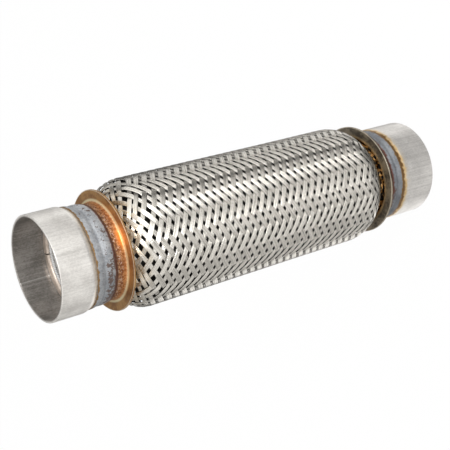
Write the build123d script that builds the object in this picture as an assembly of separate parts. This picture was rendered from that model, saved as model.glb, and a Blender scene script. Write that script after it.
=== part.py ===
from build123d import *
import math
import os

# Exhaust flex pipe with two welded nipples, in mm.
# It stands on its outlet mouth: the axis is Z and the inlet mouth is at the top.
# Depths are measured along the axis from the mouth of the end that they belong to.

# Nipples
pipe_od = 63.5
nipple_wall = 1.6
bore_depth = 19.0
inlet_neck_in = 1.1
outlet_neck_in = 0.6
neck_in_length = 4.0
edge_round = 0.3

# Overall lengths
nipple_reach = 42.5
flex_length = 200.0

# Welds between nipple and collar
inlet_weld_toe = 22.7
outlet_weld_toe = 27.5
weld_lap = 3.3
weld_toe_land = 0.3
weld_bevel = 0.8
weld_end = 35.6
first_crown = 0.3
second_crown = 0.6
weld_valley = 0.6
weld_valley_place = 0.3

# Flanged collars
neck_od = 58.8
collar_wall = 1.2
flange_od = 73.4
flange_bend = 1.3

# Split rings that hold the ends of the mesh liner
ring_wall = 0.9
ring_length = 3.2
ring_bend = 1.1
ring_split = 0.8
inlet_split_angle = 165.0
outlet_split_angle = 20.0

# Sheets that are nested inside a collar
sheet_gap = 0.05
end_gap = 0.2
braid_cuff_wall = 0.8
bellows_wall = 0.5
liner_wall = 0.8

# Outer braid
braid_od = 79.0
braid_wall = 0.5
strand_height = 0.6
strands_each_way = 24
strand_pitch = 5.7
strand_cover = 0.76
strand_taper = 0.2
weave_turn = 10.8
inlet_shoulder = 21.0
outlet_shoulder = 21.0
cuff_bend = 5.0
shoulder_gap = 0.3
gap_rings = 5
gap_share = 0.17

# Bellows
convolutions = 18
crest_gap = 0.5
fold_roundness = 0.96

# Derived sizes
total_length = flex_length + 2 * nipple_reach
pipe_r = pipe_od / 2
bore_r = pipe_r - nipple_wall
collar_r = neck_od / 2
socket_r = collar_r + sheet_gap
braid_cuff_r = collar_r - collar_wall - sheet_gap
bellows_cuff_r = braid_cuff_r - braid_cuff_wall - sheet_gap
liner_r = bellows_cuff_r - bellows_wall - sheet_gap
ring_r = liner_r - liner_wall - sheet_gap
ring_front = bore_depth + end_gap
sheet_end = ring_front + ring_wall + ring_bend
flange_back = nipple_reach + collar_wall
shoulder_start = flange_back + shoulder_gap
band_angle = 360 / strands_each_way
# A flat panel of the faceted wall comes nearer to the axis than its corners do.
panel_factor = math.cos(math.radians(band_angle / 2))
braid_base_r = braid_od / 2 - strand_height
braid_cuff_inner_r = (bellows_cuff_r + sheet_gap) / panel_factor
bellows_crest_r = (braid_base_r - braid_wall) * panel_factor - crest_gap


def turned(profile):
    """Revolve a profile, drawn as radius and height, about the pipe's axis."""
    return revolve(Plane.XZ * profile, axis=Axis.Z)


def at_inlet(solid):
    """Place a piece that was drawn at the outlet end at the inlet end."""
    return Pos(0, 0, total_length) * mirror(solid, about=Plane.XY)


def sheet(points, bend, wall):
    """Face of a thin wall along a middle line of straight runs, with rounded bends."""
    places = [Vector(*point) for point in points]
    runs = [(after - before).normalized() for before, after in zip(places, places[1:])]
    left_of = [Vector(-run.Y, run.X) for run in runs]
    skins = []
    for side in (wall / 2, -wall / 2):
        corners = [places[0] + left_of[0] * side]
        radii = []
        for at in range(1, len(runs)):
            before, after = left_of[at - 1], left_of[at]
            corners.append(places[at] + (before + after) * (side / (1 + before.dot(after))))
            turn = runs[at - 1].cross(runs[at]).Z
            radii.append(bend - math.copysign(side, turn * side))
        corners.append(places[-1] + left_of[-1] * side)
        skins.append(FilletPolyline(*corners, radius=radii))
    ends = [Line(skins[0] @ 0, skins[1] @ 0), Line(skins[0] @ 1, skins[1] @ 1)]
    return make_face([edge for line in skins + ends for edge in line.edges()])


def nipple(weld_toe, neck_in):
    """Extension tube: necked in outside towards the weld, and stepped inside to a narrower socket
    that takes the liner ring's lip and the collar's neck."""
    toe_r = pipe_r - neck_in
    length = weld_toe + weld_lap
    shoulder = (pipe_r, weld_toe - neck_in_length)
    halfway = (pipe_r - neck_in / 2, weld_toe - neck_in_length / 2)
    first_bend = TangentArc(shoulder, halfway, tangent=(0, 1))
    second_bend = TangentArc(halfway, (toe_r, weld_toe), tangent=first_bend % 1)
    inside = Polyline(
        (toe_r, weld_toe),
        (toe_r, weld_toe + weld_toe_land),
        (toe_r - weld_bevel, length),
        (socket_r, length),
        (socket_r, bore_depth),
        (bore_r, bore_depth),
        (bore_r, 0),
        (pipe_r, 0),
        shoulder,
    )
    wall = make_face([*first_bend.edges(), *second_bend.edges(), *inside.edges()])
    mouth = wall.vertices().group_by(Axis.Y)[0]
    return turned(fillet(mouth, edge_round))


def weld(weld_toe, neck_in):
    """Two runs of weld side by side, from the nipple's surface down to the collar's neck."""
    toe_r = pipe_r - neck_in
    nipple_end = weld_toe + weld_lap
    toe = (toe_r, weld_toe)
    foot = (collar_r, weld_end)
    valley = (
        collar_r + (toe_r - collar_r) * weld_valley,
        nipple_end + (weld_end - nipple_end) * weld_valley_place,
    )
    first_run = SagittaArc(toe, valley, -first_crown)
    second_run = SagittaArc(valley, foot, -second_crown)
    underside = Polyline(
        foot,
        (collar_r, nipple_end),
        (toe_r - weld_bevel, nipple_end),
        (toe_r, weld_toe + weld_toe_land),
        toe,
    )
    return turned(make_face([*first_run.edges(), *second_run.edges(), *underside.edges()]))


def collar():
    """Neck that slides into the nipple, turned out into a flat flange at the braid."""
    mid_r = collar_r - collar_wall / 2
    mid_flange = nipple_reach + collar_wall / 2
    line = [(mid_r, sheet_end), (mid_r, mid_flange), (flange_od / 2, mid_flange)]
    wall = sheet(line, flange_bend + collar_wall / 2, collar_wall)
    rim = wall.vertices().group_by(Axis.X)[-1]
    return turned(fillet(rim, edge_round))


def liner_ring(split_angle):
    """Short split ring inside the liner, with a lip rolled out over the ends of the sheets."""
    mid_r = ring_r - ring_wall / 2
    mid_lip = ring_front + ring_wall / 2
    line = [(mid_r, ring_front + ring_length), (mid_r, mid_lip), (socket_r - end_gap, mid_lip)]
    wall = turned(sheet(line, ring_bend + ring_wall / 2, ring_wall))
    split = Pos(collar_r, 0, ring_front) * Box(collar_r, ring_split, 4 * ring_length)
    return wall - Rot(0, 0, split_angle) * split


def bellows():
    """One thin corrugated tube: rounded folds between two plain cuffs."""
    root_r = bellows_cuff_r - bellows_wall / 2
    crest_r = bellows_crest_r - bellows_wall / 2
    first = shoulder_start + outlet_shoulder
    last = total_length - shoulder_start - inlet_shoulder
    pitch = (last - first) / convolutions
    points = [(root_r, sheet_end)]
    for fold in range(convolutions):
        start = first + (fold + 0.25) * pitch
        points += [(root_r, start), (crest_r, start)]
        points += [(crest_r, start + pitch / 2), (root_r, start + pitch / 2)]
    points.append((root_r, total_length - sheet_end))
    return turned(sheet(points, pitch / 4 * fold_roundness, bellows_wall))


def liner():
    """Straight tube of wire mesh inside the bellows."""
    length = total_length - 2 * sheet_end
    wall = Cylinder(liner_r, length) - Cylinder(liner_r - liner_wall, length)
    return Pos(0, 0, total_length / 2) * wall


def shoulder_rows(length, foot, up):
    """Rows of the braid where it swells out of a collar: each a place and its outward direction.
    The wall bends out of the cuff and back again to the belly, along two arcs that meet smoothly."""
    rise = braid_base_r - braid_cuff_r
    slope = 2 * math.atan(rise / length)
    belly_bend = rise / (1 - math.cos(slope)) - cuff_bend
    arc = (cuff_bend + belly_bend) * slope
    steps = max(2, round(arc / strand_pitch))
    rows = []
    for step in range(steps + 1):
        run = arc * step / steps
        if run < cuff_bend * slope:
            turn = run / cuff_bend
            r = braid_cuff_r + cuff_bend * (1 - math.cos(turn))
            reach = cuff_bend * math.sin(turn)
        else:
            turn = (arc - run) / belly_bend
            r = braid_base_r - belly_bend * (1 - math.cos(turn))
            reach = length - belly_bend * math.sin(turn)
        place = Vector(r, foot + up * reach)
        rows.append((place, Vector(math.cos(turn), -up * math.sin(turn))))
    return rows


class Braid:
    """Braided wall, faceted. It has a band along the pipe for every strand of one lean, and the
    floats of neighbouring bands lean opposite ways. A row is a step along the pipe from one
    crossing to the next, and the lines between bands carry the corners of the floats."""

    def __init__(self):
        low = shoulder_start + outlet_shoulder
        high = total_length - shoulder_start - inlet_shoulder
        steps = round((high - low) / strand_pitch)
        outlet = shoulder_rows(outlet_shoulder, shoulder_start, 1)
        inlet = shoulder_rows(inlet_shoulder, total_length - shoulder_start, -1)
        belly = [Vector(braid_base_r, low + (high - low) * step / steps) for step in range(1, steps)]
        self.rows = outlet + [(place, Vector(1, 0)) for place in belly] + inlet[::-1]
        self.last = len(self.rows) - 1
        self.belly_low = len(outlet) - 1
        self.belly_high = self.belly_low + steps
        first = self.belly_low + 1
        spread = self.belly_high - 1 - first
        self.open_rows = {first + round(spread * ring / (gap_rings - 1)) for ring in range(gap_rings)}
        self.faces = []

    def around(self, r, height, line):
        """Point at a radius and height, on one of the lines between bands or part-way past it."""
        turn = math.radians(line * band_angle + weave_turn)
        return Vector(r * math.cos(turn), r * math.sin(turn), height)

    def point(self, row, line, lift=0.0):
        """Point of the wall at a row, which may lie between two, raised by lift."""
        low = min(int(row), self.last - 1)
        (start, start_out), (end, end_out) = self.rows[low], self.rows[low + 1]
        start += start_out * lift
        end += end_out * lift
        place = start + (end - start) * (row - low)
        return self.around(place.X, place.Y, line)

    def beside(self, row, line, far_row, far_line, lift):
        """Corner of a gap that lies on the valley from one line towards another."""
        place = self.point(row, line, lift)
        return place + (self.point(far_row, far_line, lift) - place) * gap_share

    def add(self, *corners):
        """Add a face, as triangles from its first corner where the corners aren't flat."""
        points = [corner for at, corner in enumerate(corners) if (corner - corners[at - 1]).length > 1e-6]
        across = (points[1] - points[0]).cross(points[2] - points[0]).normalized()
        groups = [points]
        if any(abs((point - points[0]).dot(across)) > 1e-7 for point in points[3:]):
            groups = [[points[0], points[at], points[at + 1]] for at in range(1, len(points) - 1)]
        self.faces += [Face(Wire.make_polygon(group)) for group in groups]

    def corner(self, row, line, far_row, far_line, toward):
        """Corner of a float, as a point on its line and one on its valley. A gap parts the two."""
        if row not in self.open_rows:
            return self.point(row, line), self.point(row, line)
        return self.point(row + toward * gap_share, line), self.beside(row, line, far_row, far_line, 0.0)

    def add_float(self, band, row):
        """One float: a flat top with a slope on each side down to its valleys and its ends."""
        lean = 1 if band % 2 == 0 else -1
        left = row + (1 - lean) // 2
        right = left + lean
        corners = [
            self.corner(left, band, right, band + 1, 1),
            self.corner(left + 1, band, right + 1, band + 1, -1),
            self.corner(right + 1, band + 1, left + 1, band, -1),
            self.corner(right, band + 1, left, band, 1),
        ]
        half = 0.5 - strand_taper
        reach = math.sin(math.radians(half * band_angle)) / math.sin(math.radians(band_angle / 2))
        run = lean / 2 * reach * (1 + strand_height / braid_base_r)
        side = strand_cover / 2
        top = [
            self.point(row + 1 - run - side, band + 0.5 - half, strand_height),
            self.point(row + 1 - run + side, band + 0.5 - half, strand_height),
            self.point(row + 1 + run + side, band + 0.5 + half, strand_height),
            self.point(row + 1 + run - side, band + 0.5 + half, strand_height),
        ]
        self.add(*top)
        self.add(corners[0][0], corners[1][0], top[1], top[0])
        self.add(corners[1][1], corners[2][1], top[2], top[1])
        self.add(corners[2][0], corners[3][0], top[3], top[2])
        self.add(corners[3][1], corners[0][1], top[0], top[3])
        for (on_line, on_valley), peak in zip(corners, top):
            if (on_line - on_valley).length > 1e-6:
                self.add(on_line, on_valley, peak)

    def panel_edge(self, band, row, toward):
        """Edge of an inner panel, from line to line, round the gaps of an open row."""
        lean = 1 if band % 2 == 0 else -1
        lift = -braid_wall
        if row not in self.open_rows:
            return [self.point(row, band, lift), self.point(row, band + 1, lift)]
        return [
            self.point(row + toward * gap_share, band, lift),
            self.beside(row, band, row + lean, band + 1, lift),
            self.beside(row, band + 1, row - lean, band, lift),
            self.point(row + toward * gap_share, band + 1, lift),
        ]

    def add_inside(self, band):
        """Plain inner side of a band: short panels in the shoulders, long ones in the belly."""
        shoulders = [*range(self.belly_low + 1), *range(self.belly_high, self.last + 1)]
        rows = sorted([*shoulders, *self.open_rows])
        for low, high in zip(rows, rows[1:]):
            self.add(*self.panel_edge(band, low, 1), *reversed(self.panel_edge(band, high, -1)))

    def add_gap(self, line, row):
        """Four walls of one gap, on the line between two bands."""
        lean = 1 if line % 2 == 0 else -1
        outer, inner = (
            [
                self.point(row + gap_share, line, lift),
                self.beside(row, line, row + lean, line + 1, lift),
                self.point(row - gap_share, line, lift),
                self.beside(row, line, row + lean, line - 1, lift),
            ]
            for lift in (0.0, -braid_wall)
        )
        for at in range(4):
            self.add(outer[at - 1], outer[at], inner[at], inner[at - 1])

    def add_end(self, band, at_top):
        """The triangle left at one end of a band, and the plain cuff that the collar grips."""
        edge = self.last if at_top else 0
        up = -1 if at_top else 1
        leans_right = band % 2 == 0
        tip = self.point(edge + up, band + 1 if leans_right != at_top else band)
        left, right = self.point(edge, band), self.point(edge, band + 1)
        self.add(left, right, tip)
        cuff_end = total_length - sheet_end if at_top else sheet_end
        outer = [self.around(braid_cuff_r, cuff_end, line) for line in (band, band + 1)]
        inner = [self.around(braid_cuff_inner_r, cuff_end, line) for line in (band, band + 1)]
        self.add(left, right, outer[1], outer[0])
        self.add(*outer, *inner[::-1])
        self.add(*inner, *reversed(self.panel_edge(band, edge, up)))

    def solid(self):
        """Sew the faces of every band into one wall."""
        for band in range(strands_each_way):
            for row in range(self.last - 1):
                self.add_float(band, row)
            for row in self.open_rows:
                self.add_gap(band, row)
            self.add_inside(band)
            self.add_end(band, at_top=False)
            self.add_end(band, at_top=True)
        return Solid(Shell(self.faces))


parts = {
    "inlet_nipple": at_inlet(nipple(inlet_weld_toe, inlet_neck_in)),
    "outlet_nipple": nipple(outlet_weld_toe, outlet_neck_in),
    "inlet_weld": at_inlet(weld(inlet_weld_toe, inlet_neck_in)),
    "outlet_weld": weld(outlet_weld_toe, outlet_neck_in),
    "inlet_collar": at_inlet(collar()),
    "outlet_collar": collar(),
    "inlet_liner_ring": at_inlet(liner_ring(inlet_split_angle)),
    "outlet_liner_ring": liner_ring(outlet_split_angle),
    "bellows": bellows(),
    "mesh_liner": liner(),
    "outer_braid": Braid().solid(),
}

os.makedirs("parts", exist_ok=True)
for name, shape in parts.items():
    export_step(shape, f"parts/{name}.step", write_pcurves=False)
    size = shape.bounding_box().size
    print(f"{name}: {shape.volume / 1000:.1f} cm3, {size.X:.1f} x {size.Y:.1f} x {size.Z:.1f} mm")
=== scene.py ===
# %% [markdown]
# # An exhaust flex pipe, dressed over its CAD frame
# The CAD part gives the pieces and their places. This script adds what the solids leave out: the
# woven wire, the wavy edges of the welds, and the finish of each metal. The pipe stands on its outlet
# mouth, so its axis is Z. Lengths are in metres, and radii are measured from that axis.

import math
from dataclasses import dataclass

import bmesh
import bpy
import numpy as np
from mathutils import Matrix, Vector, noise


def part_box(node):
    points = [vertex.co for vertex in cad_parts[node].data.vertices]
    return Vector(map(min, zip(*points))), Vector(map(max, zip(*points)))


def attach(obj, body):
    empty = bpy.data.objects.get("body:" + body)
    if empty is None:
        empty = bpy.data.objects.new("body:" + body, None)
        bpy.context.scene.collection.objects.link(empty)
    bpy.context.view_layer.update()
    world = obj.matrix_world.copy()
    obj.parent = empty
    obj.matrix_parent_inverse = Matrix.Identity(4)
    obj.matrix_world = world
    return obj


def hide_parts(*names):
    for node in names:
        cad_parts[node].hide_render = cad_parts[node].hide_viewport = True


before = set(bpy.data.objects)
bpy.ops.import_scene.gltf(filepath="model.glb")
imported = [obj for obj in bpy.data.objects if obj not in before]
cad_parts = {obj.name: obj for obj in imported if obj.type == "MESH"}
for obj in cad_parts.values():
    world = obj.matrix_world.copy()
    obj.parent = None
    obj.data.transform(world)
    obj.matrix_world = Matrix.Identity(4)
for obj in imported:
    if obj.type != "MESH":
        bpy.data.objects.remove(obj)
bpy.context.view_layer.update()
print("CAD nodes:", sorted(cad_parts))

# %% [markdown]
# ## Sizes that come from the frame
# Each piece is placed from the box of its CAD node, so a change in the part moves the looks with it.
# A weld's toe is its edge on the nipple, and its foot is its edge on the collar. Both are given as
# depths from the mouth of their end, because the two ends are nearly alike. The neck and the wall of a
# collar lie inside other sheets, where no box shows them, so the part's own values are repeated.

# %% Read the sizes
MM = 0.001
neck_r = 29.4 * MM
collar_wall = 1.2 * MM
mouth_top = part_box("inlet_nipple")[1].z
pipe_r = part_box("outlet_nipple")[1].x
flange_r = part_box("outlet_collar")[1].x
braid_top_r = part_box("outer_braid")[1].x
outlet_flange_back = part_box("outlet_collar")[1].z
inlet_flange_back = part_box("inlet_collar")[0].z
outlet_toe_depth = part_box("outlet_weld")[0].z
outlet_foot_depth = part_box("outlet_weld")[1].z
inlet_toe_depth = mouth_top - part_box("inlet_weld")[1].z
inlet_foot_depth = mouth_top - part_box("inlet_weld")[0].z
print("length", round(mouth_top / MM, 2), "mm, pipe radius", round(pipe_r / MM, 2), "mm")
flex_ends = (round(outlet_flange_back / MM, 2), round(inlet_flange_back / MM, 2))
print("flex section from", flex_ends[0], "to", flex_ends[1], "mm")

# %% [markdown]
# ## The camera
# The photograph looks at the pipe from the side of its inlet mouth. The camera was fitted to the
# circles that the photograph shows, such as the mouth and the flange rims. It is turned about its own
# line of sight, so that a pipe that stands on its end lies across the picture as it does in the photo.

# %% Place the camera
camera_place = Vector((549.7, 0.0, 505.4)) * MM
camera_aim = Vector((0.0, 0.0, 155.3)) * MM
camera_pitch = -0.0083
camera_roll = -0.2745
focal_pixels = 1032.7
photo_pixels = 450

sight = (camera_aim - camera_place).normalized()
right = sight.cross(Vector((0.0, 1.0, 0.0))).normalized()
up = right.cross(sight)
tilted_sight = sight * math.cos(camera_pitch) + up * math.sin(camera_pitch)
tilted_up = up * math.cos(camera_pitch) - sight * math.sin(camera_pitch)
turned_right = right * math.cos(camera_roll) + tilted_up * math.sin(camera_roll)
turned_up = tilted_up * math.cos(camera_roll) - right * math.sin(camera_roll)

camera_data = bpy.data.cameras.new("camera")
camera_data.sensor_width = 36.0
camera_data.lens = focal_pixels / photo_pixels * camera_data.sensor_width
camera = bpy.data.objects.new("camera", camera_data)
camera_turn = Matrix((turned_right, turned_up, -tilted_sight)).transposed().to_4x4()
camera.matrix_world = Matrix.Translation(camera_place) @ camera_turn
bpy.context.scene.collection.objects.link(camera)
bpy.context.scene.camera = camera
print("lens", round(camera_data.lens, 1), "mm")

# %% [markdown]
# ## Sums of nodes, written as Python
# A finish is a web of nodes, which is hard to read as code. Here a small class wraps one output of a
# node, and its operators add the Math nodes, so that a mask can be written as a sum. The reflected
# operators let a plain number stand first, as in 1 - mask.

# %% One output of a node
class Shade:
    """One output of a finish's nodes. Sums with it add Math nodes."""

    def __init__(self, finish, socket):
        self.finish = finish
        self.socket = socket

    def maths(self, operation, *values):
        """Add a Math node on the values, or on this output where there are none."""
        inputs = dict(enumerate(values or (self,)))
        return self.finish.node("ShaderNodeMath", {"operation": operation}, inputs)

    def __add__(self, other):
        return self.maths("ADD", self, other)

    def __sub__(self, other):
        return self.maths("SUBTRACT", self, other)

    def __rsub__(self, other):
        return self.maths("SUBTRACT", other, self)

    def __mul__(self, other):
        return self.maths("MULTIPLY", self, other)

    __radd__ = __add__
    __rmul__ = __mul__


print("outputs can be added, subtracted and multiplied")

# %% [markdown]
# ## A finish
# Every other node comes from one method, which takes the kind of node, its settings and its inputs.
# The methods after it are what the finishes of this pipe use again and again: the place of a point,
# noise, soft steps and bands, a mix of two colours, and the metal that joins them.

# %% A finish while it is made
class Finish:
    """A material or the world, while its nodes are being added."""

    def __init__(self, name, tree=None):
        if tree is None:
            self.material = bpy.data.materials.new(name)
            self.material.use_nodes = True
            tree = self.material.node_tree
        self.tree = tree
        self.tree.nodes.clear()

    def node(self, kind, settings, inputs, output=0):
        """Add a node, set it, fill or link its inputs, and return one of its outputs."""
        made = self.tree.nodes.new(kind)
        for name, value in settings.items():
            setattr(made, name, value)
        for key, value in inputs.items():
            if isinstance(value, Shade):
                self.tree.links.new(value.socket, made.inputs[key])
            else:
                made.inputs[key].default_value = value
        return Shade(self, made.outputs[output]) if made.outputs else None

    def ray(self, kind):
        """1 for one kind of ray, such as those that the camera sends out."""
        return self.node("ShaderNodeLightPath", {}, {}, output=kind)

    def kept(self, name):
        """A value that the mesh keeps for each of its points."""
        return self.node("ShaderNodeAttribute", {"attribute_name": name}, {}, output="Fac")

    def place(self):
        """Where a point is, in metres, on the object's own axes."""
        return self.node("ShaderNodeTexCoord", {}, {}, output="Object")

    def axis(self, place, letter):
        """One of the three numbers of a place."""
        return self.node("ShaderNodeSeparateXYZ", {}, {0: place}, output=letter)

    def from_axis(self, place):
        """Distance of a point from the pipe's axis."""
        flatten = {0: place, 1: (1, 1, 0)}
        flat = self.node("ShaderNodeVectorMath", {"operation": "MULTIPLY"}, flatten)
        return self.node("ShaderNodeVectorMath", {"operation": "LENGTH"}, {0: flat}, output="Value")

    def noise(self, place, scale, detail=2.0, roughness=0.5):
        """Noise from 0 to 1. The scale may be a number or one for each axis, in cells per metre."""
        if not isinstance(scale, tuple):
            scale = (scale, scale, scale)
        stretched = self.node("ShaderNodeMapping", {}, {"Vector": place, "Scale": scale})
        inputs = {"Vector": stretched, "Scale": 1.0, "Detail": detail, "Roughness": roughness}
        return self.node("ShaderNodeTexNoise", {}, inputs)

    def fade(self, value, low, high):
        """0 at low and 1 at high, with a soft start and end. Low may be the larger of the two."""
        inputs = {"Value": value, "From Min": low, "From Max": high}
        return self.node("ShaderNodeMapRange", {"interpolation_type": "SMOOTHSTEP"}, inputs)

    def band(self, value, low, high, soft):
        """1 between low and high, and 0 outside."""
        return self.fade(value, low - soft, low + soft) * self.fade(value, high + soft, high - soft)

    def mix(self, factor, first, second):
        """A colour between two. Factor 0 gives the first. The node's colours are inputs 6 and 7."""
        colours = {6: first, 7: second}
        for key, colour in colours.items():
            if not isinstance(colour, Shade):
                colours[key] = (*colour, 1.0)
        return self.node("ShaderNodeMix", {"data_type": "RGBA"}, {0: factor, **colours}, output=2)

    def metal(self, colour, roughness, metallic, bump=None, bump_height=0.0):
        """Join the finish: a metal whose colour, roughness and surface may vary."""
        inputs = {"Base Color": colour, "Roughness": roughness, "Metallic": metallic}
        if bump is not None:
            heights = {"Height": bump, "Strength": 1.0, "Distance": bump_height}
            inputs["Normal"] = self.node("ShaderNodeBump", {}, heights)
        surface = self.node("ShaderNodeBsdfPrincipled", {}, inputs)
        self.node("ShaderNodeOutputMaterial", {}, {"Surface": surface})
        return self.material


print("a finish can be made")

# %% [markdown]
# ## The room that the metal mirrors
# Bare metal is only as bright as what it mirrors, so the room matters more than the lamps. It is dim,
# with six round soft boxes on it. Each has a direction, as degrees round from the front and up from
# level, a reach in degrees and a brightness. Its name says where it stands in the picture, in which
# the pipe lies down with its outlet at the far end. The large ones in front and above make one lean
# of the braid bright where the other is grey. The camera sees the room as plain white, and metal sees
# a share of that white too.

# %% Build the room
soft_boxes = {
    "above": (45, 20, 45, 0.6),
    "front": (15, 50, 75, 0.7),
    "below": (-55, -15, 45, 0.45),
    "rear": (-155, 20, 80, 0.2),
    "far end, below": (-135, -45, 20, 1.1),
    "far end, above": (115, -40, 20, 1.0),
}
edge_softness = 5
room_level = 0.11
room_white = (1.0, 0.985, 0.955)
backdrop_white = (1.0, 1.0, 1.0)
glossy_share = 0.1

world = bpy.data.worlds.new("studio")
bpy.context.scene.world = world
world.use_nodes = True
room = Finish("studio", world.node_tree)
direction = room.node("ShaderNodeTexCoord", {}, {}, output="Generated")
level = room_level
for box_round, box_up, reach, brightness in soft_boxes.values():
    around, upward = math.radians(box_round), math.radians(box_up)
    aim = (math.cos(upward) * math.cos(around), math.cos(upward) * math.sin(around), math.sin(upward))
    both = {0: direction, 1: aim}
    facing = room.node("ShaderNodeVectorMath", {"operation": "DOT_PRODUCT"}, both, output="Value")
    outer_edge = math.cos(math.radians(reach + edge_softness))
    inner_edge = math.cos(math.radians(reach - edge_softness))
    level = level + brightness * room.fade(facing, outer_edge, inner_edge)
white_share = room.ray("Is Camera Ray") + room.ray("Is Transmission Ray")
white_share = white_share + glossy_share * room.ray("Is Glossy Ray")
level = level + (1 - level) * white_share
room_colour = room.mix(white_share, room_white, backdrop_white)
backdrop = room.node("ShaderNodeBackground", {}, {"Color": room_colour, "Strength": level})
room.node("ShaderNodeOutputWorld", {}, {"Surface": backdrop})
print("soft boxes:", list(soft_boxes))

# %% [markdown]
# ## The floor
# The photo has a plain white ground. The floor is a large disc that glows white for the camera, mixed
# with a little plain paper that takes a faint shadow. Mirrored rays go through it, so that the lower
# side of the pipe mirrors the room below.

# %% Lay the floor
def deselect():
    """Deselect all, because an operator acts on everything that is selected."""
    bpy.ops.object.select_all(action="DESELECT")


floor_r = 3.0
floor_glow_share = 0.98
paper_white = (0.9, 0.9, 0.9)

deselect()
bpy.ops.mesh.primitive_circle_add(vertices=96, radius=floor_r, fill_type="NGON")
floor = bpy.context.object
floor.name = "floor"
ground = Finish("floor_white")
paper = ground.node("ShaderNodeBsdfDiffuse", {}, {"Color": (*paper_white, 1.0)})
glow = ground.node("ShaderNodeEmission", {}, {"Color": (*backdrop_white, 1.0), "Strength": 1.0})
clear = ground.node("ShaderNodeBsdfTransparent", {}, {})
seen = ground.ray("Is Camera Ray") + ground.ray("Is Transmission Ray")
shown = ground.node("ShaderNodeMixShader", {}, {0: seen * floor_glow_share, 1: paper, 2: glow})
shown = ground.node("ShaderNodeMixShader", {}, {0: ground.ray("Is Glossy Ray"), 1: shown, 2: clear})
ground.node("ShaderNodeOutputMaterial", {}, {"Surface": shown})
floor.data.materials.append(ground.material)
print("floor", 2 * floor_r, "m wide")

# %% [markdown]
# ## Two lamps
# The lamps add a little direct light to the room's. A large one stands in front, and a small one
# lights the bore of the inlet mouth and the ring in it.

# %% Hang the lamps
def add_lamp(name, place, aim, width, watts):
    """A square lamp that faces a point."""
    data = bpy.data.lights.new(name, "AREA")
    data.size = width
    data.energy = watts
    lamp = bpy.data.objects.new(name, data)
    bpy.context.scene.collection.objects.link(lamp)
    backward = Vector(place) - Vector(aim)
    lamp_turn = backward.to_track_quat("Z", "Y").to_matrix().to_4x4()
    lamp.matrix_world = Matrix.Translation(place) @ lamp_turn
    print(name, "gives", watts, "W")


pipe_middle = (0, 0, mouth_top / 2)
inlet_mouth = (0, 0, mouth_top)
add_lamp("front_lamp", (1.1, 0.35, 0.75), pipe_middle, width=0.8, watts=4.0)
add_lamp("mouth_lamp", (0.42, 0.16, 0.66), inlet_mouth, width=0.15, watts=1.3)
bpy.context.scene.view_settings.view_transform = "Standard"

# %% [markdown]
# ## The outer braid
# The real sleeve is woven from 24 flat bundles of wire each way, and each bundle goes over two and
# under two of the others. A picture or a bump can't give the black gaps or the way that the light
# catches one lean and not the other, so every bundle is a real ribbon here. A ribbon needs to know
# where it lies, so the sleeve comes first. It is no mesh, only an outline that is turned about Z.

# %% A sleeve that strands lie on
class Sleeve:
    """A surface turned about Z, from its outline as radius and height. Strands are laid on it."""

    def __init__(self, outline):
        self.outline = np.array(outline)
        runs = np.linalg.norm(np.diff(self.outline, axis=0), axis=1)
        self.along = np.concatenate([[0.0], np.cumsum(runs)])
        self.length = self.along[-1]
        slope = np.gradient(self.outline, self.along, axis=0)
        slope /= np.linalg.norm(slope, axis=1)[:, None]
        self.outward = np.stack([slope[:, 1], -slope[:, 0]], axis=1)

    def read(self, table, along):
        """Both columns of a table, at lengths along the outline."""
        return np.stack([np.interp(along, self.along, table[:, column]) for column in (0, 1)], axis=-1)

    def points(self, turn, along, lift):
        """Points at an angle and a length along the outline, raised off the sleeve by lift."""
        place = self.read(self.outline, along) + self.read(self.outward, along) * lift[..., None]
        radius, height = place[..., 0], place[..., 1]
        return np.stack([radius * np.cos(turn), radius * np.sin(turn), height], axis=-1)

    def radius(self, along):
        return self.read(self.outline, along)[..., 0]

    def height(self, along):
        return self.read(self.outline, along)[..., 1]


print("a sleeve can be made")

# %% [markdown]
# ## The outline of the braid
# The braid comes out of each collar as a narrow cuff and swells over a rounded shoulder to its full
# width. Towards the outlet it is a little narrower. Its outline is built from these parts, from the
# outlet up to the inlet.

# %% Draw the outline of the braid
def shoulder(cuff_r, belly_r, foot, length, bend, steps=24):
    """Outline from a narrow cuff out to the full width, as two arcs that meet smoothly. It starts
    at the height of foot, and a minus length goes down from there."""
    rise = belly_r - cuff_r
    slope = 2 * math.atan(rise / abs(length))
    wide_bend = rise / (1 - math.cos(slope)) - bend
    outline = []
    for step in range(steps + 1):
        turn = slope * step / steps
        outline.append((cuff_r + bend * (1 - math.cos(turn)), bend * math.sin(turn)))
    for step in range(1, steps + 1):
        turn = slope * (1 - step / steps)
        radius = belly_r - wide_bend * (1 - math.cos(turn))
        outline.append((radius, abs(length) - wide_bend * math.sin(turn)))
    return [(r, foot + math.copysign(reach, length)) for r, reach in outline]


braid_half = 0.45 * MM
outlet_taper = 0.6 * MM
widest_r = braid_top_r - braid_half
narrow_r = widest_r - outlet_taper
narrow_end = 110.0 * MM
cuff_r = neck_r - collar_wall - braid_half
cuff_reach = 7.0 * MM
cuff_bend = 5.0 * MM
flange_gap = 0.3 * MM
outlet_shoulder = 21.0 * MM
inlet_shoulder = 19.0 * MM
outlet_foot = outlet_flange_back + flange_gap
inlet_foot = inlet_flange_back - flange_gap
belly_steps = 60

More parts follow.
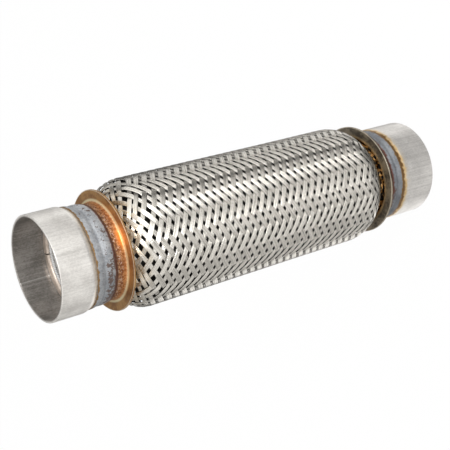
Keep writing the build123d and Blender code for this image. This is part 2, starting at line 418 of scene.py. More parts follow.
lower = shoulder(cuff_r, narrow_r, outlet_foot, outlet_shoulder, cuff_bend)
upper = shoulder(cuff_r, widest_r, inlet_foot, -inlet_shoulder, cuff_bend)[::-1]
belly_start, belly_end = lower[-1][1], upper[0][1]
belly = []
for height in np.linspace(belly_start, belly_end, belly_steps)[1:-1]:
    share = min(max((height - narrow_end) / (belly_end - narrow_end), 0.0), 1.0)
    belly.append((narrow_r + (widest_r - narrow_r) * share, float(height)))
outlet_cuff_end = (cuff_r, outlet_foot - cuff_reach)
inlet_cuff_end = (cuff_r, inlet_foot + cuff_reach)
braid_sleeve = Sleeve([outlet_cuff_end] + lower + belly + upper + [inlet_cuff_end])
print("the sleeve's outline is", round(braid_sleeve.length / MM, 1), "mm long")

# %% [markdown]
# ## The rod that a strand starts as
# A strand could be swept along a curve, but its width, its wires and its lift all change on the way.
# So it starts as an upright rod, a cylinder that is cut into rings by subdivision, and later each
# ring is moved to its place on the sleeve. Subdivide makes 100 cuts at most in one go, so the rod is
# first cut in half and then each half into its rings.

# %% Make a rod
def rod(name, sides, rings):
    """A capped rod, from -0.5 to 0.5 in height, cut into an odd number of rings."""
    deselect()
    bpy.ops.mesh.primitive_cylinder_add(vertices=sides, radius=1, depth=1)
    made = bpy.context.object
    made.name = name
    bpy.ops.object.mode_set(mode="EDIT")
    bpy.ops.mesh.select_all(action="DESELECT")
    shape = bmesh.from_edit_mesh(made.data)
    # Edges along the rod are 1 long at first, and 0.5 long after the first cut.
    for cuts in (1, (rings - 3) // 2):
        for edge in shape.edges:
            ends = [vert.co.z for vert in edge.verts]
            edge.select_set(abs(ends[0] - ends[1]) > 0.4)
        bmesh.update_edit_mesh(made.data)
        bpy.ops.mesh.subdivide(number_cuts=cuts)
        shape = bmesh.from_edit_mesh(made.data)
    bpy.ops.object.mode_set(mode="OBJECT")
    return made


def number_points(piece, sides, rings):
    """The ring and the side that each point of a rod is on."""
    co = np.empty(len(piece.data.vertices) * 3)
    piece.data.vertices.foreach_get("co", co)
    co = co.reshape(-1, 3)
    ring_of = np.rint((co[:, 2] + 0.5) * (rings - 1)).astype(int)
    side_of = np.rint(np.arctan2(co[:, 0], co[:, 1]) / (2 * math.pi) * sides).astype(int) % sides
    return ring_of, side_of


def twin(piece):
    """A copy with a mesh of its own."""
    made = piece.copy()
    made.data = piece.data.copy()
    bpy.context.scene.collection.objects.link(made)
    return made


def keep(piece, name, values):
    """Store a value for each point of a mesh."""
    piece.data.attributes.new(name, "FLOAT", "POINT").data.foreach_set("value", values)


print("a rod can be made")

# %% [markdown]
# ## A strand, and how its wires lie
# A strand's cross-section is a row of wires seen from outside: a crest for each wire, a valley between
# two wires, and a plain underside. The valleys are marked sharp, so that smooth shading rounds each
# wire and no more faces are needed. Rings are placed where the strand bends: three on the float that
# passes over two others, and three where it dives under the next two. Strands are narrower than
# their spacing, which leaves the dark gaps, and a slow noise lets them wander. Each point also
# keeps how deep it lies and the tone of its wire, for the finish to use. A weighted normal modifier
# then shades the floats flat and taut, and leaves the bend to the short stretch between them.

# %% Lay the strands of one lean
def smooth_noise(*at):
    """Noise from about -1 to 1 that changes slowly from one place to the next."""
    return noise.noise(Vector(at))


def no_wander(height):
    return 0.0


def full_width(height):
    return 1.0


@dataclass
class Weave:
    """The strands of one woven sleeve, alike but for a little noise."""

    sleeve: Sleeve
    strands: int  # number in one lean
    pitch: float  # length along the sleeve in which a strand moves on by one strand's place
    width: float  # width of a strand
    spread: float  # share by which it is wider on top and narrower below
    wires: int  # wires side by side in a strand
    rise: float  # height of a strand's middle over the sleeve, where it passes over
    crest: float  # height of a wire over the strand's middle
    valley: float  # height of the line between two wires
    underside: float  # depth of the plain underside
    start_turn: float = 0.0  # angle of the first strand
    facing: int = 1  # 1 where the wires face outwards, and -1 where they face the axis
    # Painted shade: a strand's edges are told at least this depth, so that the finish darkens them.
    edge_shade_depth: float = 0.0  # least depth that the finish is told for a strand's two edges
    wander: object = no_wander  # how far a strand may stray sideways at a height
    narrowing: object = full_width  # share of its width that a strand has at a height

    # Crossings at which the six rings of one period lie, and their heights as shares of the rise.
    float_marks = np.array([-0.35, 0.5, 1.35, 1.65, 2.5, 3.35])
    float_heights = np.array([0.95, 1.0, 0.95, -0.95, -1.0, -0.95])
    period = 4

    # How much the width, a wire's place and a wire's tone vary, and how fast from row to row.
    width_play, width_pace = 0.12, 0.13
    wire_play, wire_pace = 0.04, 0.35
    tone_play, tone_pace = 0.9, 0.8
    wander_pace = 0.21

    def section(self):
        """Place across a strand, from -0.5 to 0.5, and height, of each side of the rod in turn."""
        edge_height = 0.3 * self.valley
        edge_fall = 0.25 * self.crest
        under = [0.42, 0.0, -0.42]
        across = np.linspace(-0.5, 0.5, 2 * self.wires + 1)
        heights = np.where(np.arange(len(across)) % 2 == 1, self.crest, self.valley)
        heights[[0, -1]] = edge_height
        heights = heights - (2 * across) ** 4 * edge_fall
        across = np.concatenate([across, under])
        heights = np.concatenate([heights, [-self.underside] * len(under)])
        return across, heights

    def rings(self):
        """Number of rings, an odd one, that a strand needs to reach past both ends of the sleeve."""
        crossings = 2 * self.sleeve.length / self.pitch + 4
        return int(crossings / self.period * len(self.float_marks)) // 2 * 2 + 1

    def lay(self, name, lean):
        """All strands of one lean, joined as one piece."""
        across, heights = self.section()
        sides, rings = len(across), self.rings()
        pattern = rod(name, sides, rings)
        ring_of, side_of = number_points(pattern, sides, rings)
        self.mark_valleys(pattern, side_of)
        made = [pattern] + [twin(pattern) for _ in range(1, self.strands)]
        for strand, piece in enumerate(made):
            points, depth, tone = self.strand_points(strand, lean, rings, across, heights)
            piece.data.vertices.foreach_set("co", points[ring_of, side_of].ravel())
            keep(piece, "depth", depth[ring_of, side_of].ravel())
            keep(piece, "tone", tone[ring_of, side_of].ravel())
            piece.data.update()
        deselect()
        for piece in made:
            piece.select_set(True)
        bpy.context.view_layer.objects.active = pattern
        bpy.ops.object.join()
        bpy.ops.object.shade_smooth()
        bpy.ops.object.mode_set(mode="EDIT")
        bpy.ops.mesh.select_all(action="SELECT")
        bpy.ops.mesh.normals_make_consistent(inside=False)
        bpy.ops.object.mode_set(mode="OBJECT")
        taut = pattern.modifiers.new("taut", "WEIGHTED_NORMAL")
        taut.keep_sharp = True
        taut.weight = 100
        bpy.ops.object.modifier_apply(modifier="taut")
        return pattern

    def mark_valleys(self, piece, side_of):
        """Make the lines between wires sharp."""
        edges = np.empty(len(piece.data.edges) * 2, dtype=int)
        piece.data.edges.foreach_get("vertices", edges)
        sides = side_of[edges.reshape(-1, 2)]
        tops = 2 * self.wires + 1
        sharp = (sides[:, 0] == sides[:, 1]) & ((sides[:, 0] % 2 == 0) | (sides[:, 0] >= tops))
        piece.data.attributes.new("sharp_edge", "BOOLEAN", "EDGE").data.foreach_set("value", sharp)

    def strand_points(self, strand, lean, rings, across, heights):
        """Every point of one strand, as rings by sides, with its depth and its tone from 0 to 1."""
        count, length = np.arange(rings), len(self.float_marks)
        marks = self.float_marks[count % length] + self.period * (count // length)
        lifts = self.float_heights[count % length]
        if lean > 0:
            rows = (marks - 2 * strand % 4) / 2
        else:
            rows = (marks - 3 + 2 * strand % 4) / 2
        along = rows * self.pitch
        step = 2 * math.pi / self.strands
        turn = self.start_turn + step * (strand + lean * rows)
        radius = self.sleeve.radius(along)
        height = self.sleeve.height(along)
        slant = np.arctan2(radius * step, self.pitch)
        # Strands lie flatter where the sleeve is narrow.
        full = radius / radius.max()
        # The plain numbers given to smooth_noise only pick a part of the noise for each use.
        seed = 10.0 * strand * lean + 3.7
        drift, widths = [], []
        for row, level in zip(rows, height):
            drift.append(smooth_noise(seed, row * self.wander_pace, 1.5) * self.wander(level))
            play = 1 + self.width_play * smooth_noise(seed, row * self.width_pace, 8.5)
            widths.append(play * self.narrowing(level))
        drift, widths = np.array(drift), np.array(widths) * (1 + self.spread * lifts)
        sideways = np.empty((rings, len(across)))
        lift = np.empty((rings, len(across)))
        tone = np.empty((rings, len(across)))
        for side, (place, rise) in enumerate(zip(across, heights)):
            wire = 20 + side // 2 * 1.7
            stray = np.array([smooth_noise(seed, row * self.wire_pace, wire) for row in rows])
            sideways[:, side] = drift + self.width * widths * (place + self.wire_play * stray)
            lift[:, side] = rise * full + self.rise * lifts * full
            shades = [smooth_noise(seed + 5, row * self.tone_pace, wire * 2) for row in rows]
            tone[:, side] = 0.5 + self.tone_play * np.array(shades)
        turns = turn[:, None] + sideways * np.cos(slant)[:, None] / radius[:, None]
        alongs = along[:, None] - lean * sideways * np.sin(slant)[:, None]
        thickness = 2 * self.rise + self.crest + self.underside
        depth = (self.rise + self.crest - lift / full[:, None]) / thickness
        tops = 2 * self.wires + 1
        depth[:, tops:] = 1.0
        # Painted shade: the two edges are made at least this deep, so that the finish darkens them.
        depth[:, [0, tops - 1]] = np.maximum(depth[:, [0, tops - 1]], self.edge_shade_depth)
        points = self.sleeve.points(turns, alongs, lift * self.facing)
        return points, np.clip(depth, 0, 1), np.clip(tone, 0, 1)


print("a weave can be laid")

# %% [markdown]
# ## Weave the outer braid
# In the photo the strands run evenly along the pipe and stray near the inlet collar, where the braid
# was squeezed into it. Near both collars they are narrower. The two leans are two pieces, and both
# stand for the braid of the CAD part.

# %% Lay the outer braid
def dress(piece, node):
    """Put a piece on its body, and hide the CAD node that it stands for."""
    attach(piece, "root")
    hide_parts(node)
    triangles = sum(len(face.vertices) - 2 for face in piece.data.polygons)
    print(piece.name, "has", triangles, "triangles")


def near(foot, level, reach):
    """1 at a foot of the braid, falling to 0 at a reach from it."""
    return max(0.0, 1 - abs(level - foot) / reach)


even_wander_mm, inlet_wander_mm = 0.25, 2.6
inlet_squeeze, outlet_squeeze = 0.12, 0.25


def outer_wander(level):
    """How far a strand may stray sideways, from its height."""
    return (even_wander_mm + inlet_wander_mm * near(inlet_foot, level, 30 * MM)) * MM


def outer_narrowing(level):
    """Share of its width that a strand has, from its height. The inlet's squeeze is 6 mm down."""
    at_inlet = near(inlet_foot, level + 6 * MM, 20 * MM)
    at_outlet = near(outlet_foot, level, 9 * MM)
    return 1 - inlet_squeeze * at_inlet - outlet_squeeze * at_outlet


outer_weave = Weave(
    braid_sleeve, strands=24, pitch=5.61 * MM, width=3.0 * MM, spread=0.02, wires=8,
    rise=0.24 * MM, crest=0.18 * MM, valley=0.04 * MM, underside=0.14 * MM,
    start_turn=math.radians(14.5), edge_shade_depth=0.72, wander=outer_wander, narrowing=outer_narrowing,
)
rising = outer_weave.lay("braid_strands_rising", 1)
falling = outer_weave.lay("braid_strands_falling", -1)
dress(rising, "outer_braid")
dress(falling, "outer_braid")

# %% [markdown]
# ## Weave the mesh liner
# Behind the split ring at the mouth the photo shows a finer mesh. The same weave makes it, with more
# and thinner strands on a straight sleeve. Its wires face the axis, from where the mesh is seen.

# %% Lay the liner
liner_bottom, liner_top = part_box("mesh_liner")
liner_wall = 0.8 * MM
liner_end_gap = 0.3 * MM
liner_mid_r = liner_top.x - liner_wall / 2
liner_heights = np.linspace(liner_bottom.z + liner_end_gap, liner_top.z - liner_end_gap, 80)
liner_sleeve = Sleeve([(liner_mid_r, float(height)) for height in liner_heights])
liner_weave = Weave(
    liner_sleeve, strands=36, pitch=3.75 * MM, width=2.6 * MM, spread=0.06, wires=2,
    rise=0.16 * MM, crest=0.1 * MM, valley=0.02 * MM, underside=0.08 * MM, facing=-1,
)
liner_rising = liner_weave.lay("liner_strands_rising", 1)
dress(liner_rising, "mesh_liner")
liner_falling = liner_weave.lay("liner_strands_falling", -1)
dress(liner_falling, "mesh_liner")

# %% [markdown]
# ## The welds
# Each weld is two runs side by side. The CAD solid has their section, and here the edges of the runs
# wander and their crowns rise and fall, as a weld does. Each starts as a torus, whose points are moved
# on to the section of the weld at their place round the pipe. Noise that is read on a circle closes on
# itself, so no joint shows where the ring starts.

# %% Shape a weld
weld_sink = 0.9 * MM
toe_lap = 0.06 * MM
foot_lap = 0.02 * MM
valley_fall = 0.6
valley_play = 0.05
long_wave = 2.2
short_wave = 9
ripple_wave = 14

# The heights and strays below are in millimetres.
first_crown = 0.38
second_crown = 0.62
second_crown_play = 0.3
ripple_height = 0.05
toe_short_stray, toe_long_stray = 0.45, 0.35
foot_short_stray, foot_long_stray = 0.35, 0.3


def wave(turn, reach, seed):
    """Noise round the pipe that closes on itself. A larger reach gives shorter waves."""
    return smooth_noise(reach * math.cos(turn), reach * math.sin(turn), seed)


def hump(share):
    """An arch from 0 up to 1 and back, for a share from 0 to 1."""
    return 4 * share * (1 - share)


def weld_bead(name, node, toe_depth, foot_depth, neck_in, valley_at, depth_to_z, seed):
    """One weld, as a ring with two crowned runs on its outside and a sunk underside."""
    deselect()
    bpy.ops.mesh.primitive_torus_add(
        major_segments=420, minor_segments=36, major_radius=1, minor_radius=0.5
    )
    piece = bpy.context.object
    piece.name = name
    co = np.empty(len(piece.data.vertices) * 3)
    piece.data.vertices.foreach_get("co", co)
    co = co.reshape(-1, 3)
    turns = np.arctan2(co[:, 1], co[:, 0])
    sides = np.arctan2(co[:, 2], np.hypot(co[:, 0], co[:, 1]) - 1) / math.pi
    toe_r = pipe_r - neck_in + toe_lap
    points = np.empty_like(co)
    for number, (turn, side) in enumerate(zip(turns, sides)):
        share = min(max(0.5 + side, 0.0), 1.0)
        valley = valley_at + valley_play * wave(turn, long_wave, seed + 3)
        first = min(share / valley, 1.0)
        second = max((share - valley) / (1 - valley), 0.0)
        fall = valley_fall * first + (1 - valley_fall) * second
        if abs(side) > 0.5:
            sunk = weld_sink * math.sin(math.pi * (abs(side) - 0.5))
            radius = toe_r + (neck_r - toe_r) * fall - sunk
        else:
            second_height = second_crown + second_crown_play * wave(turn, long_wave, seed + 5)
            crowns = first_crown * hump(first) + second_height * hump(second)
            ripple = ripple_height * wave(turn, ripple_wave, seed + 4 * share)
            radius = toe_r + (neck_r + foot_lap - toe_r) * fall + (crowns + ripple) * MM
        toe_stray = toe_short_stray * wave(turn, short_wave, seed)
        toe_stray += toe_long_stray * wave(turn, long_wave, seed + 1)
        foot_stray = foot_short_stray * wave(turn, short_wave, seed + 2)
        foot_stray += foot_long_stray * wave(turn, long_wave, seed + 2)
        toe = toe_depth + toe_stray * MM
        foot = foot_depth + foot_stray * MM
        level = depth_to_z(toe + (foot - toe) * share)
        points[number] = (radius * math.cos(turn), radius * math.sin(turn), level)
    piece.data.vertices.foreach_set("co", points.ravel())
    piece.data.update()
    bpy.ops.object.mode_set(mode="EDIT")
    bpy.ops.mesh.select_all(action="SELECT")
    bpy.ops.mesh.normals_make_consistent(inside=False)
    bpy.ops.object.mode_set(mode="OBJECT")
    bpy.ops.object.shade_smooth()
    dress(piece, node)
    return piece


print("a weld can be shaped")

# %% [markdown]
# ## Lay the two welds
# Both ends are welded in the same way, so one function serves for both, and only the sizes and the
# direction of the depth differ. The seed gives each weld its own waves.

# %% Lay the welds
inlet_neck_in = 1.1 * MM
outlet_neck_in = 0.6 * MM
inlet_valley = 0.40
outlet_valley = 0.53


def from_inlet(depth):
    """Height of a depth from the inlet mouth."""
    return mouth_top - depth


def from_outlet(depth):
    """Height of a depth from the outlet mouth, which stands at height 0."""
    return depth


inlet_bead = weld_bead(
    "inlet_weld_bead", "inlet_weld", inlet_toe_depth, inlet_foot_depth,
    inlet_neck_in, inlet_valley, from_inlet, seed=11.0,
)
outlet_bead = weld_bead(
    "outlet_weld_bead", "outlet_weld", outlet_toe_depth, outlet_foot_depth,
    outlet_neck_in, outlet_valley, from_outlet, seed=31.0,
)

# %% [markdown]
# ## The finish of the wire
# Every finish reads where a point is on the object, so its marks lie where the photo has them. Wire is
# bright, each wire has its own tone, and painted shade darkens it where it lies deep and along the
# edges of a braid strand. At the inlet collar the braid has patches of straw, and at the outlet it is
# gold and sooty.

# %% Finish the wire
straw_patch = (0.62, 0.46, 0.25)
gold_end = (0.93, 0.72, 0.40)
soot = (0.03, 0.02, 0.015)
# Painted shade for wire that lies deep.
painted_deep_shade = (0.07, 0.065, 0.06)


def wire_finish(name, dark, light, metallic, tinted):
    """Wire between two tones. Tinted wire has the heat marks of the braid's two ends."""
    wire = Finish(name)
    place = wire.place()
    colour = wire.mix(wire.kept("tone"), dark, light)
    if tinted:
        height = wire.axis(place, "Z")
        worn = wire.noise(place, 160.0)
        inlet_end = wire.fade(height + worn * (10 * MM), inlet_foot - 9 * MM, inlet_foot + 6 * MM)
        outlet_end = wire.fade(height + worn * (3 * MM), outlet_foot + 8 * MM, outlet_foot + 2 * MM)
        patchy = inlet_end * wire.fade(wire.noise(place, 220.0), 0.38, 0.6)
        colour = wire.mix(patchy * 0.75, colour, straw_patch)
        colour = wire.mix(outlet_end, colour, gold_end)
        sooty = outlet_end * wire.fade(wire.noise(place, 420.0, 1.0), 0.46, 0.54)
        colour = wire.mix(sooty, colour, soot)
    # Painted shade: deep wire, and the edges of a braid strand, are darkened.
    deep_shade = wire.fade(wire.kept("depth"), 0.62, 0.95)
    colour = wire.mix(deep_shade, colour, painted_deep_shade)
    return wire.metal(colour, 0.22, metallic)


outer_wire = wire_finish("braid_wire", (0.60, 0.58, 0.54), (0.86, 0.83, 0.775), 1.0, tinted=True)
liner_wire = wire_finish("liner_wire", (0.72, 0.71, 0.69), (0.98, 0.97, 0.95), 0.15, tinted=False)
for piece in (rising, falling):
    piece.data.materials.append(outer_wire)
for piece in (liner_rising, liner_falling):
    piece.data.materials.append(liner_wire)
print("wire:", outer_wire.name, "and", liner_wire.name)

# %% [markdown]
# ## The finish of the nipples
# A nipple is drawn tube: pale, with fine lines and a few scratches along it, and darker inside, where
# a seam shows. Beside the weld the heat has left straw, then gold, then an ochre line. The tint
# follows the depth from the mouth, and noise on that depth makes its edge ragged. X points to the
# front and Y is up in the photo, so the seam can be kept to the far side of the bore.

# %% Finish the nipples
scratch_grey = (0.35, 0.34, 0.32)
straw_tint = (0.70, 0.60, 0.45)
gold_tint = (0.58, 0.38, 0.14)
ochre_line = (0.17, 0.09, 0.035)
bore_dark, bore_light = (0.19, 0.18, 0.165), (0.42, 0.395, 0.375)
seam_light = (0.85, 0.84, 0.82)
seam_half = 0.3 * MM


def depth_at(finish, place, at_inlet):
    """Depth of a point from the mouth of its end."""
    level = finish.axis(place, "Z")
    return mouth_top - level if at_inlet else level


def nipple_finish(name, at_inlet, toe_depth, tint_reach, ragged, light, dark, seam_turn):
    """Drawn tube between two tones, with the heat tint of its weld and a seam in its bore."""
    tube = Finish(name)
    place = tube.place()
    forward, upward = tube.axis(place, "X"), tube.axis(place, "Y")
    cloud = tube.noise(place, 90.0, 3.0)
    lines = tube.noise(place, (900.0, 900.0, 22.0), 3.0, 0.6)
    grains = tube.noise(place, (1100.0, 1100.0, 700.0), 3.0, 0.7)
    scratches = tube.fade(tube.noise(place, (330.0, 330.0, 8.0)), 0.62, 0.70)
    shade = 0.4 * cloud + 0.3 * lines + 0.35 * grains
    colour = tube.mix(tube.fade(shade, 0.35, 0.75), dark, light)
    colour = tube.mix(scratches * 0.2, colour, scratch_grey)

    jagged = 0.5 * tube.noise(place, 420.0) + 0.5 * tube.noise(place, 110.0)
    depth = depth_at(tube, place, at_inlet) + (jagged - 0.5) * ragged
    straw = tube.fade(depth, toe_depth - tint_reach, toe_depth - 0.2 * tint_reach)
    colour = tube.mix(straw * 0.6, colour, straw_tint)
    gold = tube.fade(depth, toe_depth - 0.55 * tint_reach, toe_depth - 0.25 * tint_reach)
    colour = tube.mix(gold * 0.8, colour, gold_tint)
    ochre_start = toe_depth - 0.5 * MM - 0.22 * tint_reach
    ochre_end = toe_depth - 0.1 * MM - 0.1 * tint_reach
    colour = tube.mix(tube.fade(depth, ochre_start, ochre_end), colour, ochre_line)

    off_seam = forward * -math.sin(seam_turn) + upward * math.cos(seam_turn)
    far_side = tube.fade(forward, 0.0, -5 * MM)
    seam = tube.band(off_seam, -seam_half, seam_half, 0.25 * MM) * far_side
    bore = tube.mix(tube.fade(shade, 0.38, 0.68), bore_dark, bore_light)
    bore = tube.mix(seam * 0.4, bore, seam_light)
    inside = tube.fade(tube.from_axis(place), pipe_r - 0.6 * MM, pipe_r - 1.4 * MM)
    colour = tube.mix(inside, colour, bore)
    return tube.metal(colour, 0.27 + 0.2 * lines, 0.66, bump=lines, bump_height=0.03 * MM)


inlet_tube = nipple_finish(
    "inlet_nipple_steel", True, inlet_toe_depth, tint_reach=2.6 * MM, ragged=2.5 * MM,
    light=(0.93, 0.91, 0.88), dark=(0.60, 0.58, 0.555), seam_turn=math.radians(191),
)
outlet_tube = nipple_finish(
    "outlet_nipple_steel", False, outlet_toe_depth, tint_reach=7.0 * MM, ragged=6.0 * MM,
    light=(0.84, 0.82, 0.80), dark=(0.52, 0.505, 0.49), seam_turn=math.radians(160),
)
print("nipples:", inlet_tube.name, "and", outlet_tube.name)

# %% [markdown]
# ## The finish of the liner rings
# The lip of a ring is rolled strip with a warm tint. Behind it the photo shows mesh, so the sleeve of
# the ring looks like mesh there. Two sines, one for each lean, are multiplied into its lozenges.

# %% Finish the rings
ring_dark, ring_light = (0.42, 0.35, 0.29), (0.66, 0.57, 0.50)
mesh_dark, mesh_light = (0.62, 0.62, 0.62), (0.99, 0.99, 0.99)
ring_front = 19.2 * MM
lip_reach = 1.5 * MM
mesh_waves = 72
mesh_lead = 26 * MM


def depth_at_either(finish, place):
    """Depth of a point from the nearer mouth."""
    middle = mouth_top / 2
    return middle - (finish.axis(place, "Z") - middle).maths("ABSOLUTE")


def ring_finish():
    """Rolled strip at the lip, and mesh behind it."""
    ring = Finish("ring_steel")
    place = ring.place()
    forward, upward = ring.axis(place, "X"), ring.axis(place, "Y")
    depth = depth_at_either(ring, place)
    tone = 0.6 * ring.noise(place, 240.0, 3.0) + 0.4 * ring.noise(place, 1400.0)
    colour = ring.mix(ring.fade(tone, 0.3, 0.7), ring_dark, ring_light)
    turn = upward.maths("ARCTAN2", upward, forward)
    one_way = (turn * mesh_waves + depth * (mesh_waves / mesh_lead)).maths("SINE")
    other_way = (turn * mesh_waves - depth * (mesh_waves / mesh_lead)).maths("SINE")
    mesh = ring.fade(one_way * other_way + 0.6 * ring.noise(place, 1500.0, 1.0), -0.2, 0.5)
    meshed = ring.fade(depth, ring_front + lip_reach, ring_front + lip_reach + 0.3 * MM)
    colour = ring.mix(meshed, colour, ring.mix(mesh, mesh_dark, mesh_light))
    return ring.metal(colour, 0.45, 0.75 - 0.6 * meshed, bump=tone, bump_height=0.05 * MM)


ring_steel = ring_finish()
print("rings:", ring_steel.name)

# %% [markdown]
# ## The finish of the welds
# A weld is covered by blue-grey scale. The valley between its two runs has painted shade, and so has
# its lower side, towards minus Y. Brown specks lie mostly on the second run, an ochre line follows the
# toe and a dark red one the foot.

# %% Finish the welds
# Painted shade for the lower side of a weld, towards minus Y.
painted_lower_shade = (0.12, 0.125, 0.135)
# Painted shade for the valley between the two runs.
painted_valley_shade = (0.10, 0.105, 0.115)
speck_brown = (0.12, 0.075, 0.06)
toe_ochre = (0.22, 0.13, 0.05)
foot_red = (0.14, 0.045, 0.03)


def weld_finish(name, at_inlet, toe_depth, foot_depth, valley_at, light, dark):
    """Weld scale between two tones, with painted shade in its valley and on its lower side."""
    bead = Finish(name)
    place = bead.place()
    cloud = bead.noise(place, 130.0, 3.0)
    scale = bead.noise(place, 900.0, 3.0, 0.6)
    jagged = bead.noise(place, 420.0) - 0.5
    depth = depth_at(bead, place, at_inlet)
    valley = toe_depth + (foot_depth - toe_depth) * valley_at
    colour = bead.mix(bead.fade(0.5 * cloud + 0.5 * scale, 0.35, 0.65), dark, light)
    # Painted shade on the lower side, towards minus Y. The same side also gets more specks.
    lower_side = bead.fade(bead.axis(place, "Y"), 2 * MM, -16 * MM)
    colour = bead.mix(lower_side * 0.33, colour, painted_lower_shade)
    # Painted shade along the valley between the two runs.
    wavy_depth = depth + (cloud - 0.5) * (1.5 * MM)
    sunk = bead.band(wavy_depth, valley - 0.5 * MM, valley + 0.5 * MM, 0.6 * MM)
    colour = bead.mix(sunk * 0.25, colour, painted_valley_shade)
    speckled = bead.fade(depth, valley, valley + 3 * MM) * (0.08 + 0.12 * lower_side)
    specks = bead.fade(bead.noise(place, 430.0, 4.0, 0.65) + speckled, 0.65, 0.68)
    colour = bead.mix(specks * 0.85, colour, speck_brown)
    toe_line = bead.fade(depth + jagged * (2.6 * MM), toe_depth + 1.2 * MM, toe_depth + 0.6 * MM)
    colour = bead.mix(toe_line, colour, toe_ochre)
    foot_line = bead.fade(depth + jagged * (1.4 * MM), foot_depth - 1.3 * MM, foot_depth - 0.4 * MM)
    colour = bead.mix(foot_line * 0.9, colour, foot_red)
    grain = 0.6 * scale + 0.4 * cloud
    return bead.metal(colour, 0.5 + 0.25 * scale, 0.6, bump=grain, bump_height=0.1 * MM)


inlet_scale = weld_finish(
    "inlet_weld_metal", True, inlet_toe_depth, inlet_foot_depth, inlet_valley,
    light=(0.50, 0.52, 0.545), dark=(0.27, 0.285, 0.31),
)
outlet_scale = weld_finish(
    "outlet_weld_metal", False, outlet_toe_depth, outlet_foot_depth, outlet_valley,
    light=(0.30, 0.315, 0.34), dark=(0.17, 0.18, 0.20),
)
inlet_bead.data.materials.append(inlet_scale)
outlet_bead.data.materials.append(outlet_scale)
print("welds:", inlet_scale.name, "and", outlet_scale.name)

# %% [markdown]
# ## The finish of the collars
# A collar is thin sheet that the weld's heat has turned brown. Its neck is speckled, has painted pink
# glints beside the weld and is tinted orange towards the fold, and at one spot in front more of that
# orange is painted on as a highlight. The fold has a pale painted highlight, the flange is brushed
# brown, and its rim has a thin painted highlight. The radius tells these zones apart, and on the neck
# the depth does.

# %% Finish the collars
# Painted glints for the neck.
painted_glint_pink = (0.80, 0.67, 0.60)
scorch_brown = (0.10, 0.045, 0.03)
# Painted highlight for the rim of the flange.
painted_rim_highlight = (0.88, 0.80, 0.66)
inside_tint = (0.66, 0.56, 0.47)


def collar_finish(name, at_inlet, foot_depth, face, face_dark, neck, neck_dark, fold_highlight, heat_tint_and_highlight):
    """Heat-tinted sheet with painted glints and highlights, from the weld out to the rim."""
    collar = Finish(name)
    place = collar.place()
    radius = collar.from_axis(place)
    depth = depth_at(collar, place, at_inlet)
    cloud = collar.noise(place, 120.0, 3.0)
    cells = collar.noise(place, 750.0, 3.0, 0.65)
    brushed = collar.fade(0.6 * cloud + 0.4 * cells, 0.38, 0.60)
    colour = collar.mix(brushed, face_dark, face)

    necks = collar.mix(collar.fade(cells + 0.25 * cloud, 0.54, 0.72), neck_dark, neck)
    wavy_depth = depth + (cloud - 0.5) * (3 * MM)
    by_weld = collar.fade(wavy_depth, foot_depth + 5.5 * MM, foot_depth + 3 * MM)
    # Painted pink glints on the neck beside the weld.
    painted_glint = collar.fade(collar.noise(place, 1000.0, 2.0, 0.6), 0.56, 0.64) * by_weld
    necks = collar.mix(painted_glint * 0.75, necks, painted_glint_pink)
    warm = collar.fade(depth, foot_depth + 2 * MM, foot_depth + 6 * MM)
    # Heat tint all round, and a painted highlight: the orange is laid on more strongly at one spot in
    # front.
    front_side = collar.fade(collar.axis(place, "X"), 10 * MM, 24 * MM)
    painted_highlight_spot = collar.band(collar.axis(place, "Y"), -1 * MM, 9 * MM, 4 * MM) * front_side
    necks = collar.mix(warm * (0.25 + 0.6 * painted_highlight_spot), necks, heat_tint_and_highlight)
    scorched = collar.fade(depth, foot_depth + 1.6 * MM, foot_depth + 0.2 * MM)
    necks = collar.mix(scorched, necks, scorch_brown)

    on_neck = collar.fade(radius, neck_r + 0.9 * MM, neck_r + 0.4 * MM)
    colour = collar.mix(on_neck, colour, necks)
    # Painted highlight, pale, on the fold between neck and flange.
    fold_highlight_mask = collar.band(radius, neck_r + 0.5 * MM, neck_r + 1.9 * MM, 0.6 * MM)
    colour = collar.mix(fold_highlight_mask * (0.75 + 0.25 * cloud), colour, fold_highlight)
    # Painted highlight on the rim of the flange.
    rim = collar.band(radius, flange_r - 0.42 * MM, flange_r - 0.12 * MM, 0.12 * MM)
    colour = collar.mix(rim * 0.8, colour, painted_rim_highlight)
    inside = collar.fade(radius, neck_r - 0.4 * collar_wall, neck_r - 0.8 * collar_wall)
    colour = collar.mix(inside, colour, inside_tint)
    return collar.metal(colour, 0.33 + 0.15 * cells, 0.85, bump=cells, bump_height=0.08 * MM)


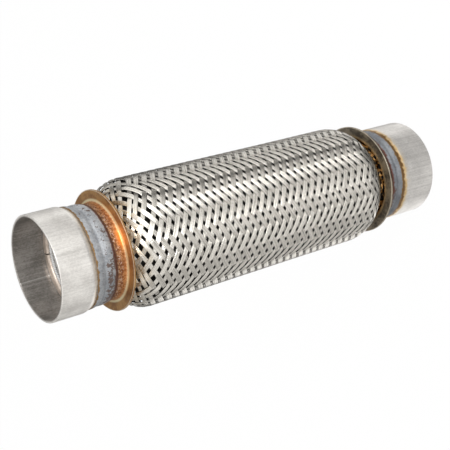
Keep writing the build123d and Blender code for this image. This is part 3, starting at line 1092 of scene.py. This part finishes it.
inlet_collar_steel = collar_finish(
    "inlet_collar_steel", True, inlet_foot_depth,
    face=(0.50, 0.29, 0.115), face_dark=(0.30, 0.15, 0.06),
    neck=(0.56, 0.32, 0.17), neck_dark=(0.22, 0.085, 0.045),
    fold_highlight=(0.92, 0.84, 0.55), heat_tint_and_highlight=(0.90, 0.30, 0.05),
)
outlet_collar_steel = collar_finish(
    "outlet_collar_steel", False, outlet_foot_depth,
    face=(0.36, 0.31, 0.24), face_dark=(0.11, 0.095, 0.08),
    neck=(0.50, 0.30, 0.14), neck_dark=(0.18, 0.09, 0.05),
    fold_highlight=(0.50, 0.40, 0.26), heat_tint_and_highlight=(0.50, 0.26, 0.10),
)
print("collars:", inlet_collar_steel.name, "and", outlet_collar_steel.name)

# %% [markdown]
# ## The finish of the bellows
# The bellows only shows through the gaps of the braid, and it is painted nearly black there as the
# shade in those gaps. Its cuff also shows in the mouth, beside the ring, and has the tint of the
# collar there.

# %% Finish the bellows
# Painted shade: the sheet is nearly black.
bellows_shade_dark, bellows_shade_light = (0.012, 0.011, 0.01), (0.03, 0.027, 0.025)
cuff_tint = (0.62, 0.53, 0.45)


def bellows_finish():
    """Sheet painted nearly black as shade, with a tinted cuff at each end."""
    sheet = Finish("bellows_steel")
    place = sheet.place()
    colour = sheet.mix(sheet.noise(place, 300.0), bellows_shade_dark, bellows_shade_light)
    depth = depth_at_either(sheet, place)
    cuff_end = sheet.fade(depth, ring_front + 4 * MM, ring_front + 3 * MM)
    return sheet.metal(sheet.mix(cuff_end, colour, cuff_tint), 0.6, 0.4)


bellows_steel = bellows_finish()
print("bellows:", bellows_steel.name)

# %% [markdown]
# ## Give the CAD pieces their finish
# The nipples, collars, rings and bellows are shown as the CAD part has them. Their meshes stay as they
# are, and only the materials in their slots change.

# %% Assign the finishes
finishes = {
    "inlet_nipple": inlet_tube,
    "outlet_nipple": outlet_tube,
    "inlet_collar": inlet_collar_steel,
    "outlet_collar": outlet_collar_steel,
    "inlet_liner_ring": ring_steel,
    "outlet_liner_ring": ring_steel,
    "bellows": bellows_steel,
}
for name, finish in finishes.items():
    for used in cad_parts[name].material_slots:
        used.material = finish
print("CAD pieces with a finish:", len(finishes))
